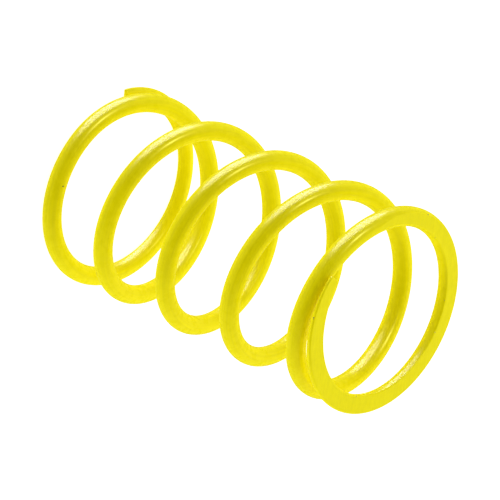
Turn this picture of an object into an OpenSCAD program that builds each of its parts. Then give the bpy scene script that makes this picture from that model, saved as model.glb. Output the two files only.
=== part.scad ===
// Helical compression spring of round wire, wound left-handed, with closed and ground ends.
// The wire is divided by planes through the axis into quarter-turn sections that meet face to face,
// so that each section can follow its own share of the travel when the spring is pressed together.
// The spring stands on its lower ground end: the origin is the centre of that end and +Z is the axis.

/* [Wire] */
// Diameter of the wire
wire_d = 5.8; // [4:0.1:7]

/* [Coil] */
// Outside diameter of the coil, in its middle
outer_d = 62; // [50:1:80]
// Length with no load, from one ground end to the other
free_length = 112.4; // [95:0.1:130]
// Turns of wire from tip to tip
total_turns = 5.845; // [5.6:0.005:6]
// How far the spring is pressed together
compression = 0; // [0:1:60]

/* [Lower end] */
// Turns at the lower end that lie closed on the next coil
lower_closed_turns = 0.85; // [0.76:0.01:0.98]
// Turns over which the lower end opens out to the full pitch
lower_opening_turns = 0.2; // [0.1:0.01:0.5]
// Thickness of wire that the grinding leaves at the lower tip
lower_tip_thickness = 1.6; // [0.8:0.1:2.8]
// How far the lower end flares out, measured on the radius at its tip
lower_flare = 0.9; // [0:0.1:2]

/* [Upper end] */
// Turns at the upper end that lie closed on the next coil
upper_closed_turns = 0.85; // [0.76:0.01:0.98]
// Turns over which the upper end opens out to the full pitch
upper_opening_turns = 0.36; // [0.1:0.01:0.5]
// Thickness of wire that the grinding leaves at the upper tip
upper_tip_thickness = 1.4; // [0.8:0.1:2.8]
// How strongly the upper end coil lies level and then steps down past its tip
upper_step = 0.88; // [0:0.02:1]

/* [Closed coils] */
// Gap between a closed turn and the coil next to it
closed_gap = 0.1; // [0.1:0.05:0.6]

/* [Smoothness] */
// Sides of the wire's cross-section
wire_sides = 24; // [16:2:28]
// Steps along the wire in each section
section_steps = 10; // [8:1:12]

/* [Hidden] */
paint_yellow = [0.91, 0.86, 0.04];

// Sections from the lower tip to the upper tip, four to each coil.
sections = 23;
sections_per_coil = 4;
lower_end_sections = [0 : 3];
active_sections = [4 : 18];
upper_end_sections = [19 : sections - 1];
coil_names = [
    "lower_end_coil",
    "active_coil_1",
    "active_coil_2",
    "active_coil_3",
    "active_coil_4",
    "upper_end_coil"
];

section_turns = total_turns / sections;
wire_r = wire_d / 2;
mean_r = outer_d / 2 - wire_r;
length = free_length - compression;

// Height of the wire's centre line above the seat at each ground tip.
lower_tip_centre = lower_tip_thickness - wire_r;
upper_tip_centre = upper_tip_thickness - wire_r;

// The flare dies out over this many turns.
flare_turns = 1.3;

// The upper end's step keeps its full size this far from each tip, and fades out in between.
step_margin_turns = 1.3;
step_second_share = 0.25;

// Rise of the centre line per turn where the end is closed, and in the middle of the spring.
closed_pitch = wire_d + closed_gap;
active_turns = opened_turns(total_turns);
active_rise = length - lower_tip_centre - upper_tip_centre - closed_pitch * total_turns;
active_pitch = closed_pitch + active_rise / active_turns;

// The blocks that stand for the grinding wheels reach this far past the coil.
grinding_margin = 5;
grinding_d = outer_d + 2 * (lower_flare + grinding_margin);

// Smooth step from 0 to 1, and the area under it from 0 to t.
function smooth_step(t) = t * t * (3 - 2 * t);
function smooth_step_area(t) = t * t * t * (1 - t / 2);
function clamped(t) = min(1, max(0, t));

// How far an end has opened out, from 0 to 1, some turns along the wire from its tip.
function openness(turns, closed, opening) = smooth_step(clamped((turns - closed) / opening));

// The sum of that openness from the tip to the same place, in turns.
function openness_sum(turns, closed, opening) =
    opening * smooth_step_area(clamped((turns - closed) / opening))
    + max(0, turns - closed - opening);

// The two ends as functions of the turns counted from the lower tip.
function lower_sum(turns) = openness_sum(turns, lower_closed_turns, lower_opening_turns);
function upper_sum(turns) = openness_sum(turns, upper_closed_turns, upper_opening_turns);
function pitch_share(turns) =
    openness(turns, lower_closed_turns, lower_opening_turns)
    + openness(total_turns - turns, upper_closed_turns, upper_opening_turns)
    - 1;

// Active turns below a place on the wire. Its share of the travel is this over active_turns.
function opened_turns(turns) =
    lower_sum(turns) + upper_sum(total_turns) - upper_sum(total_turns - turns) - turns;

// The step at the upper end: a wave that repeats each turn, counted from the upper tip.
function step_wave(turns) = sin(360 * turns) + step_second_share * sin(720 * turns);
function step_wave_slope(turns) =
    2 * PI * (cos(360 * turns) + 2 * step_second_share * cos(720 * turns));
function step_size(turns) =
    upper_step * smooth_step(clamped((turns - step_margin_turns) / (total_turns - 2 * step_margin_turns)));

// Height of the centre line and its slope, in mm per turn.
function wire_height(turns) =
    lower_tip_centre
    + closed_pitch * turns
    - step_size(turns) * step_wave(total_turns - turns)
    + (active_pitch - closed_pitch) * opened_turns(turns);
function wire_slope(turns) =
    closed_pitch
    + step_size(turns) * step_wave_slope(total_turns - turns)
    + (active_pitch - closed_pitch) * pitch_share(turns);

// Distance of the centre line from the axis.
function wire_radius(turns) = mean_r + lower_flare * (1 - smooth_step(clamped(turns / flare_turns)));

// A plane through the axis cuts the sloping wire in an ellipse that is a little taller than it is wide.
function ellipse_stretch(turns) = sqrt(1 + pow(wire_slope(turns) / (2 * PI * mean_r), 2));

// Outline of the wire in the plane through the axis. Left-handed: the angle falls as the wire rises.
function wire_ring(turns) =
    let (
        angle = -360 * turns,
        height = wire_height(turns),
        tall_r = wire_r * ellipse_stretch(turns)
    )
    [
        for (i = [0 : wire_sides - 1])
            let (
                around = 360 * (i + 0.5) / wire_sides,
                radius = wire_radius(turns) + wire_r * cos(around)
            )
            [radius * cos(angle), radius * sin(angle), height + tall_r * sin(around)]
    ];

// Triangles of the skin between two rings, and the flat caps of a section.
function ring_point(ring, i) = ring * wire_sides + i % wire_sides;
function skin_faces() = [
    for (ring = [0 : section_steps - 1], i = [0 : wire_sides - 1])
        each [
            [ring_point(ring, i), ring_point(ring, i + 1), ring_point(ring + 1, i)],
            [ring_point(ring, i + 1), ring_point(ring + 1, i + 1), ring_point(ring + 1, i)]
        ]
];
function start_cap() = [for (i = [wire_sides - 1 : -1 : 0]) i];
function end_cap() = [for (i = [0 : wire_sides - 1]) ring_point(section_steps, i)];

// One section of the wire, full round, from its lower cut to its upper cut.
module wire_section(index) {
    first = index * section_turns;
    points = [
        for (step = [0 : section_steps])
            each wire_ring(first + section_turns * step / section_steps)
    ];
    polyhedron(points, concat(skin_faces(), [start_cap(), end_cap()]), convexity = 4);
}

// What the grinding takes off below z = 0 and above the spring's length.
module lower_grinding() {
    translate([0, 0, -grinding_margin])
        cylinder(d = grinding_d, h = grinding_margin);
}

module upper_grinding() {
    translate([0, 0, length])
        cylinder(d = grinding_d, h = grinding_margin);
}

module lower_end_section(index) {
    color(paint_yellow)
        difference() {
            wire_section(index);
            lower_grinding();
        }
}

module active_section(index) {
    color(paint_yellow)
        wire_section(index);
}

module upper_end_section(index) {
    color(paint_yellow)
        difference() {
            wire_section(index);
            upper_grinding();
        }
}

for (i = lower_end_sections)
    lower_end_section(i);
for (i = active_sections)
    active_section(i);
for (i = upper_end_sections)
    upper_end_section(i);
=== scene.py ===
"""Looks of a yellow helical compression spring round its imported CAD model. Lengths are in metres."""
import math

import bmesh
import bpy
import numpy as np
from mathutils import Matrix, Vector


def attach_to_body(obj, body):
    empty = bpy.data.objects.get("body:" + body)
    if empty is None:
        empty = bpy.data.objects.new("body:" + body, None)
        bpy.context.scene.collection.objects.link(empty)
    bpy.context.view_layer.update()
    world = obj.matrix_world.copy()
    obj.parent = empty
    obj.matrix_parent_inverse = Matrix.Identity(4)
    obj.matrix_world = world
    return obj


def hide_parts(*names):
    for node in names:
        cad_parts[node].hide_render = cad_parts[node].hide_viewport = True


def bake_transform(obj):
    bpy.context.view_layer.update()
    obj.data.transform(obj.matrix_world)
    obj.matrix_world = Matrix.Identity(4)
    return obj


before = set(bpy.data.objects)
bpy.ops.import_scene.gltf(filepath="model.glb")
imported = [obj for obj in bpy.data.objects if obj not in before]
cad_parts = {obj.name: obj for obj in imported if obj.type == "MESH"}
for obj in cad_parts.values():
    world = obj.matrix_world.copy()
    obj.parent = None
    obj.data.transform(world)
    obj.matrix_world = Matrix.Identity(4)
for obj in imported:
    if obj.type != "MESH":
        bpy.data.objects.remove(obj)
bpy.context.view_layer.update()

# ---------------------------------------------------------------- driving dimensions, as in the CAD part
WIRE_D = 0.0058
OUTER_D = 0.062
FREE_LENGTH = 0.1124
TOTAL_TURNS = 5.845
LOWER_CLOSED_TURNS = 0.85
LOWER_OPENING_TURNS = 0.2
LOWER_TIP_THICKNESS = 0.0016
LOWER_FLARE = 0.0009
FLARE_TURNS = 1.3
UPPER_CLOSED_TURNS = 0.85
UPPER_OPENING_TURNS = 0.36
UPPER_TIP_THICKNESS = 0.0014
UPPER_STEP = 0.00088
STEP_MARGIN_TURNS = 1.3
STEP_SECOND_SHARE = 0.25
CLOSED_GAP = 0.0001

SECTIONS = 23
SECTIONS_PER_COIL = 4
COIL_NAMES = ["lower_end_coil"] + [f"active_coil_{i}" for i in range(1, 5)] + ["upper_end_coil"]
LOWER_BODY = "lower_end"
UPPER_BODY = "upper_end"

WIRE_R = WIRE_D / 2
MEAN_R = OUTER_D / 2 - WIRE_R
TURN_LENGTH = 2 * math.pi * MEAN_R
SECTION_TURNS = TOTAL_TURNS / SECTIONS
LOWER_TIP_CENTRE = LOWER_TIP_THICKNESS - WIRE_R
UPPER_TIP_CENTRE = UPPER_TIP_THICKNESS - WIRE_R
CLOSED_PITCH = WIRE_D + CLOSED_GAP

# ---------------------------------------------------------------- mesh detail
STEPS_PER_TURN = 192          # rings of points along one turn of wire
ARC_POINTS = 52               # points on the round part of a ring
FILLET_POINTS = 6             # points on each rounded edge of the ground flat
FLAT_POINTS = 5               # points on each half of the ground flat
EDGE_RADIUS = 0.00050         # rounding of the ground edges under the paint
TIP_ROUNDING = 0.00045        # rounding round the cut end of the wire
TIP_STEPS = 8                 # rings in that rounding
TIP_EDGE_SHARE = 0.5          # how far the cut ends count as edges, for the painted highlight and the wear along edges
PARTS_PER_MOVING_SECTION = 3  # short parts in each length of wire that lies between the two ends
TANGENT_STEP = 0.02 / STEPS_PER_TURN
TINY = 1e-9                   # turns and shares closer than this count as equal


# ---------------------------------------------------------------- the wire's centre line
def clamped(t):
    return min(1.0, max(0.0, t))


def smooth_step(t):
    return t * t * (3 - 2 * t)


def openness(turns, closed, opening):
    return smooth_step(clamped((turns - closed) / opening))


def openness_sum(turns, closed, opening):
    t = clamped((turns - closed) / opening)
    return opening * t**3 * (1 - t / 2) + max(0.0, turns - closed - opening)


def lower_sum(turns):
    return openness_sum(turns, LOWER_CLOSED_TURNS, LOWER_OPENING_TURNS)


def upper_sum(turns):
    return openness_sum(turns, UPPER_CLOSED_TURNS, UPPER_OPENING_TURNS)


def opened_turns(turns):
    """Active turns below a place on the wire."""
    return lower_sum(turns) + upper_sum(TOTAL_TURNS) - upper_sum(TOTAL_TURNS - turns) - turns


ACTIVE_TURNS = opened_turns(TOTAL_TURNS)
ACTIVE_RISE = FREE_LENGTH - LOWER_TIP_CENTRE - UPPER_TIP_CENTRE - CLOSED_PITCH * TOTAL_TURNS
ACTIVE_PITCH = CLOSED_PITCH + ACTIVE_RISE / ACTIVE_TURNS


def travel_share(turns):
    """How much of the upper end's travel a place on the wire makes, from 0 to 1."""
    return opened_turns(turns) / ACTIVE_TURNS


def step_wave(turns):
    """The step at the upper end: a wave that repeats each turn, counted from the upper tip."""
    return math.sin(2 * math.pi * turns) + STEP_SECOND_SHARE * math.sin(4 * math.pi * turns)


def step_wave_slope(turns):
    return 2 * math.pi * (
        math.cos(2 * math.pi * turns) + 2 * STEP_SECOND_SHARE * math.cos(4 * math.pi * turns)
    )


def step_size(turns):
    fade_turns = TOTAL_TURNS - 2 * STEP_MARGIN_TURNS
    return UPPER_STEP * smooth_step(clamped((turns - STEP_MARGIN_TURNS) / fade_turns))


def wire_height(turns):
    return (
        LOWER_TIP_CENTRE
        + CLOSED_PITCH * turns
        - step_size(turns) * step_wave(TOTAL_TURNS - turns)
        + (ACTIVE_PITCH - CLOSED_PITCH) * opened_turns(turns)
    )


def wire_radius(turns):
    """Distance of the centre line from the axis."""
    return MEAN_R + LOWER_FLARE * (1 - smooth_step(clamped(turns / FLARE_TURNS)))


def ellipse_stretch(turns):
    opened = (
        openness(turns, LOWER_CLOSED_TURNS, LOWER_OPENING_TURNS)
        + openness(TOTAL_TURNS - turns, UPPER_CLOSED_TURNS, UPPER_OPENING_TURNS)
        - 1
    )
    slope = (
        CLOSED_PITCH
        + step_size(turns) * step_wave_slope(TOTAL_TURNS - turns)
        + (ACTIVE_PITCH - CLOSED_PITCH) * opened
    )
    return math.sqrt(1 + (slope / TURN_LENGTH) ** 2)


# ---------------------------------------------------------------- the wire's cross-section
UNCUT = math.cos(math.radians(2.5))  # share of the radius where a ground flat starts to show
RUN_OUT_TURNS = 0.06                 # length over which the points spread evenly again past a flat
SHOWING_DEPTH = 0.02                 # share of the radius over which the look of the flat sets in
LARGEST_FILLET = 0.9                 # of what has been ground off
ARC_EDGE_SHARE = 0.45                # how far the first point of the arc counts as edge, for the painted highlight and the wear along edges
ARC_EDGE_POINTS = 3
BISECTIONS = 40


class Outline:
    """Points round the wire in wire radii, their normals, and how much each is on the flat or its edge."""

    def __init__(self, points, normals, flat, edge):
        self.points, self.normals, self.flat, self.edge = points, normals, flat, edge

    def upside_down(self):
        """The same outline for the upper end, its points in the same order round the wire."""
        def turned(values):
            return np.roll(values[::-1], 1 + len(values) // 2, axis=0)

        flip = np.array([1.0, -1.0])
        points, normals = turned(self.points * flip), turned(self.normals * flip)
        return Outline(points, normals, turned(self.flat), turned(self.edge))


def ground_outline(depth):
    """Outline of a wire of radius 1 whose centre is depth above the plane that it is ground to.
    It starts in the middle of the flat, and has a rounded edge on each side."""
    showing = clamped((UNCUT - depth) / SHOWING_DEPTH)
    depth = min(depth, UNCUT)
    edge = min(EDGE_RADIUS / WIRE_R, LARGEST_FILLET * (1 - depth))
    edge_x = math.sqrt((1 - edge) ** 2 - (depth - edge) ** 2)
    edge_angle = math.atan2(-(depth - edge), edge_x)
    rows = [(edge_x * i / FLAT_POINTS, -depth, 0.0, -1.0, 1.0, 0.0) for i in range(FLAT_POINTS)]
    for i in range(FILLET_POINTS):
        t = i / FILLET_POINTS
        a = -math.pi / 2 + (edge_angle + math.pi / 2) * t
        x, y = math.cos(a), math.sin(a)
        # how much the fillet counts as edge, for the wear specks and the painted highlight
        edge_wear_and_highlight = math.sin(math.pi * (0.15 + 0.7 * t))
        rows.append((edge_x + edge * x, -depth + edge + edge * y, x, y, 1 - t, edge_wear_and_highlight))
    arc_steps = ARC_POINTS // 2
    for i in range(arc_steps + 1):
        a = edge_angle + (math.pi / 2 - edge_angle) * i / arc_steps
        near_edge = ARC_EDGE_SHARE * max(0.0, 1 - i / ARC_EDGE_POINTS)
        rows.append((math.cos(a), math.sin(a), math.cos(a), math.sin(a), 0.0, near_edge))
    half = np.array(rows)
    other = half[-2:0:-1] * np.array([-1, 1, -1, 1, 1, 1])
    both = np.concatenate([half, other])
    return Outline(both[:, 0:2], both[:, 2:4], both[:, 4] * showing, both[:, 5] * showing)


def round_outline(angle):
    shape = np.stack([np.cos(angle), np.sin(angle)], axis=1)
    return Outline(shape, shape, np.zeros(len(angle)), np.zeros(len(angle)))


JUST_CUT = ground_outline(UNCUT)
RING_POINTS = len(JUST_CUT.points)
JUST_CUT_ANGLES = np.unwrap(np.arctan2(JUST_CUT.points[:, 1], JUST_CUT.points[:, 0]))
EVEN_ANGLES = JUST_CUT_ANGLES[0] + 2 * math.pi * np.arange(RING_POINTS) / RING_POINTS


def end_depth(turns, upper):
    """How far the centre line is from the plane that the nearer end is ground to, in wire radii."""
    height = wire_height(turns)
    return (FREE_LENGTH - height if upper else height) / (WIRE_R * ellipse_stretch(turns))


def flat_turns(upper):
    """How far from its tip an end's ground flat reaches."""
    low, high = 0.0, 1.0
    for _ in range(BISECTIONS):
        middle = (low + high) / 2
        if end_depth(TOTAL_TURNS - middle if upper else middle, upper) < UNCUT:
            low = middle
        else:
            high = middle
    return low


FLAT_TURNS = {False: flat_turns(False), True: flat_turns(True)}


def outline(turns):
    """Cross-section at a place on the wire, in wire radii: outwards from the axis, and upwards."""
    upper = turns > TOTAL_TURNS / 2
    depth = end_depth(turns, upper)
    if depth < UNCUT:
        shape = ground_outline(depth)
    else:
        from_tip = TOTAL_TURNS - turns if upper else turns
        spread = smooth_step(clamped((from_tip - FLAT_TURNS[upper]) / RUN_OUT_TURNS))
        shape = round_outline(JUST_CUT_ANGLES * (1 - spread) + EVEN_ANGLES * spread)
    return shape.upside_down() if upper else shape


# ---------------------------------------------------------------- lengths of wire as meshes
def place_points(turns, shape_points):
    angle = -2 * math.pi * turns
    radius = wire_radius(turns) + WIRE_R * shape_points[:, 0]
    height = wire_height(turns) + WIRE_R * ellipse_stretch(turns) * shape_points[:, 1]
    return np.stack([radius * math.cos(angle), radius * math.sin(angle), height], axis=1)


class Ring:
    """One ring of points round the wire, drawn in by inset where the end of the wire is rounded off."""

    def __init__(self, turns, inset=0.0, end_share=0.0, end_side=0.0):
        shape = outline(turns)
        inner = shape.points - shape.normals * inset / WIRE_R
        self.points = place_points(turns, inner)
        self.flat, self.edge = shape.flat, np.maximum(shape.edge, TIP_EDGE_SHARE * end_share)
        self.along = np.column_stack([np.full(len(inner), turns * TURN_LENGTH), inner * WIRE_R])
        ahead, behind = min(turns + TANGENT_STEP, TOTAL_TURNS), max(turns - TANGENT_STEP, 0.0)
        tangent = place_points(ahead, outline(ahead).points) - place_points(behind, outline(behind).points)
        angle = -2 * math.pi * turns
        outward = np.array([math.cos(angle), math.sin(angle), 0.0])
        upward = np.array([0.0, 0.0, ellipse_stretch(turns)])
        around = -shape.normals[:, 1:2] * outward + shape.normals[:, 0:1] * upward
        side = np.cross(around, tangent)
        side /= np.linalg.norm(side, axis=1)[:, None]
        away = shape.normals[:, 0:1] * outward + shape.normals[:, 1:2] * upward
        side *= np.sign(np.sum(side * away, axis=1))[:, None]
        end = tangent.mean(axis=0)
        end *= end_side / np.linalg.norm(end)
        self.normals = side * math.sqrt(1 - end_share**2) + end * end_share


def tip_rings(upper):
    """Rings that round off a cut end of the wire, from the cut face inwards."""
    rings = []
    for i in range(TIP_STEPS):
        a = math.pi / 2 * (1 - i / TIP_STEPS)
        back = TIP_ROUNDING * (1 - math.sin(a)) / TURN_LENGTH
        turns = TOTAL_TURNS - back if upper else back
        rings.append(Ring(turns, TIP_ROUNDING * (1 - math.cos(a)), math.sin(a), 1.0 if upper else -1.0))
    return rings


def wire_rings(first, last):
    begin, finish = first, last
    head, tail = [], []
    if first < TINY:
        head = tip_rings(False)
        begin = TIP_ROUNDING / TURN_LENGTH
    if last > TOTAL_TURNS - TINY:
        tail = tip_rings(True)[::-1]
        finish = TOTAL_TURNS - TIP_ROUNDING / TURN_LENGTH
    steps = max(2, round((finish - begin) * STEPS_PER_TURN))
    return head + [Ring(begin + (finish - begin) * i / steps) for i in range(steps + 1)] + tail


def store(mesh, name, values):
    kind, field = ("FLOAT_VECTOR", "vector") if values.ndim == 2 else ("FLOAT", "value")
    mesh.attributes.new(name, kind, "POINT").data.foreach_set(field, values.astype(np.float32).ravel())


def wire_mesh(name, first, last):
    """A length of wire as a closed mesh with smooth sides and flat ends."""
    rings = wire_rings(first, last)
    n, steps = RING_POINTS, len(rings) - 1
    faces = []
    for j in range(steps):
        for i in range(n):
            a, b = j * n + i, j * n + (i + 1) % n
            faces.append((a, b, b + n, a + n))
    faces.append(tuple(range(n - 1, -1, -1)))
    faces.append(tuple(steps * n + i for i in range(n)))
    points = np.concatenate([ring.points for ring in rings])
    normals = np.concatenate([ring.normals for ring in rings])
    mesh = bpy.data.meshes.new(name)
    mesh.from_pydata(points.tolist(), [], faces)
    mesh.update()
    bm = bmesh.new()
    bm.from_mesh(mesh)
    bmesh.ops.recalc_face_normals(bm, faces=bm.faces)
    bm.to_mesh(mesh)
    bm.free()
    store(mesh, "rest_place", points)
    store(mesh, "wire_place", np.concatenate([ring.along for ring in rings]))
    store(mesh, "ground", np.concatenate([ring.flat for ring in rings]))
    store(mesh, "edge", np.concatenate([ring.edge for ring in rings]))
    mesh.polygons.foreach_set("use_smooth", [True] * len(mesh.polygons))
    corners = []
    for polygon in mesh.polygons:
        for corner in polygon.loop_indices:
            is_side = len(polygon.vertices) == 4
            normal = normals[mesh.loops[corner].vertex_index] if is_side else polygon.normal
            corners.append(tuple(normal))
    mesh.normals_split_custom_set(corners)
    obj = bpy.data.objects.new(name, mesh)
    bpy.context.scene.collection.objects.link(obj)
    return obj


def attach(obj, first, last):
    """Rides an end of the spring, or bakes the transform of a moving length of wire into its mesh."""
    low, high = travel_share(first), travel_share(last)
    if high < TINY:
        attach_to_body(obj, LOWER_BODY)
        return
    if low > 1 - TINY:
        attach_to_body(obj, UPPER_BODY)
        return
    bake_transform(obj)


# ---------------------------------------------------------------- paint
PAINT_COLOUR = (0.87, 0.775, 0.001)
STEEL_COLOUR = (0.20, 0.18, 0.15)
PRIMER_COLOUR = (0.10, 0.085, 0.01)
CHIP_TURNS = 0.792            # one small chip in the paint, on the first coil
CHIP_AROUND = math.radians(80)
CHIP_RADIUS = 0.00032
PINHOLE_CELLS = 260.0         # to the metre
PAINT_IOR = 1.5
PAINT_SPECULAR = 0.05
SMOOTH_ROUGHNESS, DULL_ROUGHNESS = 0.25, 0.31
GROUND_ROUGHNESS = 0.07       # more than on the round wire
BARE_ROUGHNESS = 0.25         # more than on the paint
PEEL_HEIGHT = 3e-6            # heights in metres
DRAW_LINE_HEIGHT = 3.5e-6
FINE_LINE_HEIGHT = 0.8e-6
GRINDING_HEIGHT = 6e-6
BARE_DEPTH = 5e-5


class Nodes:
    """Short calls for building a material's node tree."""

    def __init__(self, material):
        self.tree = material.node_tree
        self.shader = self.tree.nodes["Principled BSDF"]

    def feed(self, socket, value):
        if isinstance(value, bpy.types.NodeSocket):
            self.tree.links.new(value, socket)
        else:
            socket.default_value = value

    def attribute(self, name, output):
        node = self.tree.nodes.new("ShaderNodeAttribute")
        node.attribute_name = name
        return node.outputs[output]

    def math(self, operation, a, b=0.0, c=0.0):
        node = self.tree.nodes.new("ShaderNodeMath")
        node.operation = operation
        for socket, value in zip(node.inputs, (a, b, c)):
            self.feed(socket, value)
        return node.outputs["Value"]

    def vector(self, operation, a, b):
        node = self.tree.nodes.new("ShaderNodeVectorMath")
        node.operation = operation
        self.feed(node.inputs[0], a)
        self.feed(node.inputs[1], b)
        return node.outputs["Value" if operation in ("DISTANCE", "DOT_PRODUCT") else "Vector"]

    def noise(self, place, sizes, detail=2.0, roughness=0.5):
        """Noise from 0 to 1, with grains of the given sizes in metres along the three axes."""
        node = self.tree.nodes.new("ShaderNodeTexNoise")
        scaled = self.vector("MULTIPLY", place, tuple(1 / size for size in sizes))
        self.feed(node.inputs["Vector"], scaled)
        node.inputs["Scale"].default_value = 1.0
        node.inputs["Detail"].default_value = detail
        node.inputs["Roughness"].default_value = roughness
        return node.outputs["Fac"]

    def ramp(self, value, low, high, to_low=0.0, to_high=1.0):
        node = self.tree.nodes.new("ShaderNodeMapRange")
        node.interpolation_type = "SMOOTHSTEP"
        self.feed(node.inputs["Value"], value)
        for name, number in (("From Min", low), ("From Max", high), ("To Min", to_low), ("To Max", to_high)):
            self.feed(node.inputs[name], number)
        return node.outputs["Result"]

    def mix(self, factor, a, b):
        node = self.tree.nodes.new("ShaderNodeMix")
        node.data_type = "RGBA"
        colours = [socket for socket in node.inputs if socket.type == "RGBA"]
        self.feed(node.inputs["Factor"], factor)
        self.feed(colours[0], a)
        self.feed(colours[1], b)
        return [socket for socket in node.outputs if socket.type == "RGBA"][0]


def paint_material():
    """Glossy yellow enamel over drawn wire, with ground ends that were painted after the grinding."""
    material = bpy.data.materials.new("yellow_paint")
    material.use_nodes = True
    n = Nodes(material)
    rest = n.attribute("rest_place", "Vector")
    along = n.attribute("wire_place", "Vector")
    ground = n.attribute("ground", "Fac")
    edge = n.attribute("edge", "Fac")

    # drawing marks run along the wire, grinding marks across the ends, and the enamel has a fine orange peel
    draw_lines = n.noise(along, (0.030, 0.0007, 0.0007), 3.0, 0.6)
    fine_lines = n.noise(along, (0.012, 0.00028, 0.00028), 2.0, 0.6)
    grinding = n.noise(rest, (0.006, 0.00035, 0.002), 3.0, 0.6)
    peel = n.noise(rest, (0.0011, 0.0011, 0.0011), 1.0, 0.4)
    mottle = n.noise(rest, (0.0022, 0.0022, 0.0022), 4.0, 0.6)
    cloud = n.noise(rest, (0.014, 0.014, 0.014), 2.0, 0.5)
    on_wire = n.math("SUBTRACT", 1.0, ground)

    # wear: pinholes, a chip, and bare specks along the ground edges
    cells = n.tree.nodes.new("ShaderNodeTexVoronoi")
    n.feed(cells.inputs["Vector"], n.vector("MULTIPLY", rest, (PINHOLE_CELLS,) * 3))
    cells.inputs["Scale"].default_value = 1.0
    chosen = n.ramp(cells.outputs["Color"], 0.93, 0.94)
    pinhole = n.math("MULTIPLY", chosen, n.ramp(cells.outputs["Distance"], 0.035, 0.02))
    chip_place = (CHIP_TURNS * TURN_LENGTH, WIRE_R * math.cos(CHIP_AROUND), WIRE_R * math.sin(CHIP_AROUND))
    ragged = n.math("MULTIPLY", n.noise(rest, (0.00025, 0.00025, 0.00025), 2.0), 0.00035)
    chip_distance = n.math("ADD", n.vector("DISTANCE", along, chip_place), ragged)
    chip = n.ramp(chip_distance, CHIP_RADIUS + 0.00012, CHIP_RADIUS + 0.00006)
    worn_noise = n.noise(rest, (0.0009, 0.0009, 0.0009), 4.0, 0.65)
    worn = n.math("MULTIPLY", n.ramp(worn_noise, 0.66, 0.69), n.ramp(edge, 0.55, 0.8))
    bare = n.math("MINIMUM", n.math("ADD", n.math("ADD", pinhole, chip), worn), 1.0)

    # colour: thicker and thinner paint, with painted shade in the hollows of the drawing marks and painted
    # light on their ridges, and a painted highlight along the ground edges and cut ends
    shade = n.ramp(mottle, 0.3, 0.7, 0.975, 1.02)
    shade = n.math("MULTIPLY", shade, n.ramp(cloud, 0.3, 0.7, 0.985, 1.015))
    # painted shade in the hollows of the drawing marks and painted light on their ridges
    painted_line_shade = n.ramp(draw_lines, 0.3, 0.7, 0.945, 1.035)
    ground_shade = n.ramp(grinding, 0.3, 0.7, 0.965, 1.02)
    wire_part = n.math("MULTIPLY", painted_line_shade, on_wire)
    ground_part = n.math("MULTIPLY", ground_shade, ground)
    shade = n.math("MULTIPLY", shade, n.math("ADD", wire_part, ground_part))
    # lighter along the ground edges and the cut ends: a painted highlight
    shade = n.math("MULTIPLY", shade, n.ramp(edge, 0.3, 1.0, 1.0, 1.05))
    base = n.tree.nodes.new("ShaderNodeVectorMath")
    base.operation = "SCALE"
    base.inputs[0].default_value = PAINT_COLOUR
    n.feed(base.inputs["Scale"], shade)
    under = n.mix(n.ramp(edge, 0.5, 0.7), (*PRIMER_COLOUR, 1), (*STEEL_COLOUR, 1))
    n.feed(n.shader.inputs["Base Color"], n.mix(bare, base.outputs["Vector"], under))

    gloss = n.ramp(mottle, 0.3, 0.7, SMOOTH_ROUGHNESS, DULL_ROUGHNESS)
    gloss = n.math("ADD", gloss, n.math("MULTIPLY", ground, GROUND_ROUGHNESS))
    gloss = n.math("ADD", gloss, n.math("MULTIPLY", bare, BARE_ROUGHNESS))
    n.feed(n.shader.inputs["Roughness"], gloss)
    n.shader.inputs["IOR"].default_value = PAINT_IOR
    n.shader.inputs["Specular IOR Level"].default_value = PAINT_SPECULAR

    height = n.math("MULTIPLY", peel, PEEL_HEIGHT)
    coarse_marks = n.math("MULTIPLY", draw_lines, DRAW_LINE_HEIGHT)
    fine_marks = n.math("MULTIPLY", fine_lines, FINE_LINE_HEIGHT)
    wire_marks = n.math("ADD", coarse_marks, fine_marks)
    height = n.math("ADD", height, n.math("MULTIPLY", wire_marks, on_wire))
    ground_marks = n.math("MULTIPLY", grinding, GRINDING_HEIGHT)
    height = n.math("ADD", height, n.math("MULTIPLY", ground_marks, ground))
    height = n.math("SUBTRACT", height, n.math("MULTIPLY", bare, BARE_DEPTH))
    bump = n.tree.nodes.new("ShaderNodeBump")
    bump.inputs["Strength"].default_value = 1.0
    bump.inputs["Distance"].default_value = 1.0
    n.feed(bump.inputs["Height"], height)
    n.feed(n.shader.inputs["Normal"], bump.outputs["Normal"])
    return material


PAINT = paint_material()


def section_name(index):
    return f"{COIL_NAMES[index // SECTIONS_PER_COIL]}_quarter_{index % SECTIONS_PER_COIL + 1}"


def add_section(index):
    node = section_name(index)
    first = index * SECTION_TURNS
    last = first + SECTION_TURNS
    moving = travel_share(last) > TINY and travel_share(first) < 1 - TINY
    parts = PARTS_PER_MOVING_SECTION if moving else 1
    for part in range(parts):
        begin = first + SECTION_TURNS * part / parts
        finish = first + SECTION_TURNS * (part + 1) / parts
        name = f"wire_{node}" if parts == 1 else f"wire_{node}_part_{part + 1}"
        piece = wire_mesh(name, begin, finish)
        piece.data.materials.append(PAINT)
        attach(piece, begin, finish)
        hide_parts(node)


for section in range(SECTIONS):
    add_section(section)

# ---------------------------------------------------------------- camera
CAMERA_AZIMUTH = math.radians(150.85)
CAMERA_ELEVATION = math.radians(38.68)
CAMERA_ROLL = math.radians(115.24)
CAMERA_DISTANCE = 0.994
CAMERA_LENS = 244.3
PICTURE_OFFSET = (0.00118, -0.00104)  # from the spring's middle to the picture's middle
MIDDLE = Vector((0, 0, FREE_LENGTH / 2))


def camera_axes(azimuth, elevation, roll):
    back = Vector((
        math.sin(azimuth) * math.cos(elevation),
        -math.cos(azimuth) * math.cos(elevation),
        math.sin(elevation),
    ))
    level = Vector((math.cos(azimuth), math.sin(azimuth), 0))
    upright = back.cross(level)
    right = level * math.cos(roll) + upright * math.sin(roll)
    return right, back.cross(right), back


RIGHT, UP, BACK = camera_axes(CAMERA_AZIMUTH, CAMERA_ELEVATION, CAMERA_ROLL)


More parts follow.
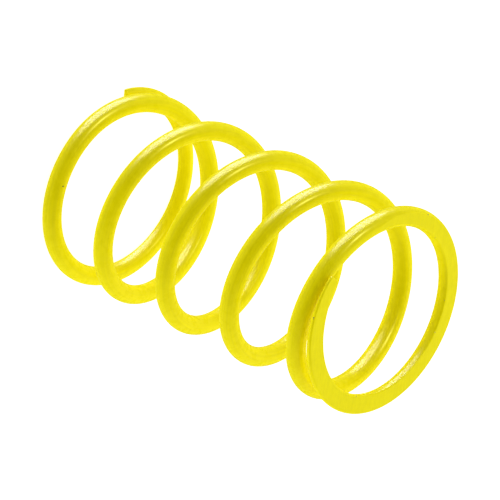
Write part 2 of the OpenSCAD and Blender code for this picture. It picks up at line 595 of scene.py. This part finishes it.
def add_camera():
    data = bpy.data.cameras.new("camera")
    data.lens = CAMERA_LENS
    data.sensor_width = 36
    data.clip_start = 0.01
    data.clip_end = 20
    camera = bpy.data.objects.new("camera", data)
    bpy.context.scene.collection.objects.link(camera)
    place = MIDDLE + BACK * CAMERA_DISTANCE + RIGHT * PICTURE_OFFSET[0] + UP * PICTURE_OFFSET[1]
    rotation = Matrix((RIGHT, UP, BACK)).transposed()
    camera.matrix_world = Matrix.Translation(place) @ rotation.to_4x4()
    bpy.context.scene.camera = camera


# ---------------------------------------------------------------- floor and light
FLOOR_HALF_WIDTH = 3.0
FLOOR_GAP = 0.00002           # the floor lies just under the spring, so that the two faces don't coincide
FLOOR_GLOW = 0.9
TENT_STRENGTH = 1.55
DARK_SIDE_STRENGTH = 0.05
DARK_SIDE_OUTER = 64          # degrees from the photograph's direction
DARK_SIDE_INNER = 34
REFLECTED_ROOM = 0.12
TENT_RADIUS = 2.9


def floor_material():
    """A pale light table: white diffuse plastic that glows softly."""
    material = bpy.data.materials.new("pale_floor")
    material.use_nodes = True
    shader = material.node_tree.nodes["Principled BSDF"]
    shader.inputs["Base Color"].default_value = (0.5, 0.5, 0.5, 1)
    shader.inputs["Roughness"].default_value = 0.9
    shader.inputs["Specular IOR Level"].default_value = 0.0
    shader.inputs["Emission Color"].default_value = (1, 1, 1, 1)
    shader.inputs["Emission Strength"].default_value = FLOOR_GLOW
    return material


def add_floor():
    reach = FLOOR_HALF_WIDTH
    corners = [(-reach, -reach, 0), (reach, -reach, 0), (reach, reach, 0), (-reach, reach, 0)]
    mesh = bpy.data.meshes.new("floor")
    mesh.from_pydata(corners, [], [(0, 1, 2, 3)])
    mesh.materials.append(floor_material())
    floor = bpy.data.objects.new("floor", mesh)
    bpy.context.scene.collection.objects.link(floor)
    floor.location.z = -FLOOR_GAP
    floor.visible_shadow = False
    floor.visible_glossy = False


def tent_material():
    """White cloth that glows evenly, but is darker round the direction that the photograph is taken from."""
    material = bpy.data.materials.new("white_tent")
    material.use_nodes = True
    material.cycles.emission_sampling = "NONE"
    n = Nodes(material)
    geometry = n.tree.nodes.new("ShaderNodeNewGeometry")
    outwards = n.tree.nodes.new("ShaderNodeVectorMath")
    outwards.operation = "NORMALIZE"
    n.feed(outwards.inputs[0], geometry.outputs["Position"])
    facing = n.vector("DOT_PRODUCT", outwards.outputs["Vector"], tuple(BACK))
    outer, inner = (math.cos(math.radians(angle)) for angle in (DARK_SIDE_OUTER, DARK_SIDE_INNER))
    glow = n.ramp(facing, outer, inner, TENT_STRENGTH, DARK_SIDE_STRENGTH)
    n.feed(n.shader.inputs["Emission Strength"], glow)
    n.shader.inputs["Emission Color"].default_value = (1, 1, 1, 1)
    n.shader.inputs["Base Color"].default_value = (0, 0, 0, 1)
    n.shader.inputs["Specular IOR Level"].default_value = 0.0
    return material


def add_tent():
    """The tent round the whole scene. It lights the paint but doesn't show as a reflection."""
    mesh = bpy.data.meshes.new("tent")
    bm = bmesh.new()
    bmesh.ops.create_uvsphere(bm, u_segments=48, v_segments=24, radius=TENT_RADIUS)
    bm.to_mesh(mesh)
    bm.free()
    mesh.materials.append(tent_material())
    tent = bpy.data.objects.new("tent", mesh)
    bpy.context.scene.collection.objects.link(tent)
    tent.visible_camera = False
    tent.visible_shadow = False
    tent.visible_glossy = False


def add_world():
    """White behind everything, and only faintly mirrored in the paint."""
    world = bpy.data.worlds.new("white_room")
    bpy.context.scene.world = world
    world.use_nodes = True
    nodes, links = world.node_tree.nodes, world.node_tree.links
    background = nodes["Background"]
    background.inputs["Color"].default_value = (1, 1, 1, 1)
    path = nodes.new("ShaderNodeLightPath")
    strength = nodes.new("ShaderNodeMapRange")
    strength.inputs["To Min"].default_value = REFLECTED_ROOM
    strength.inputs["To Max"].default_value = 1.0
    links.new(path.outputs["Is Camera Ray"], strength.inputs["Value"])
    links.new(strength.outputs["Result"], background.inputs["Strength"])


def add_lamp(name, direction, spread, strength, colour):
    """A distant soft lamp, seen from the spring in the given direction, that gives highlights only."""
    data = bpy.data.lights.new(name, "SUN")
    data.angle = math.radians(spread)
    data.energy = strength
    data.color = colour
    lamp = bpy.data.objects.new(name, data)
    bpy.context.scene.collection.objects.link(lamp)
    lamp.rotation_mode = "QUATERNION"
    lamp.rotation_quaternion = Vector(direction).to_track_quat("Z", "Y")
    lamp.visible_diffuse = False


add_camera()
add_floor()
add_tent()
add_world()
add_lamp("low_lamp", (0.965, -0.020, -0.255), spread=64, strength=44.0, colour=(1, 1, 1))
add_lamp("high_lamp", (0.522, -0.061, 0.851), spread=12, strength=14.5, colour=(1, 0.95, 0.2))
bpy.context.scene.view_settings.view_transform = "Standard"
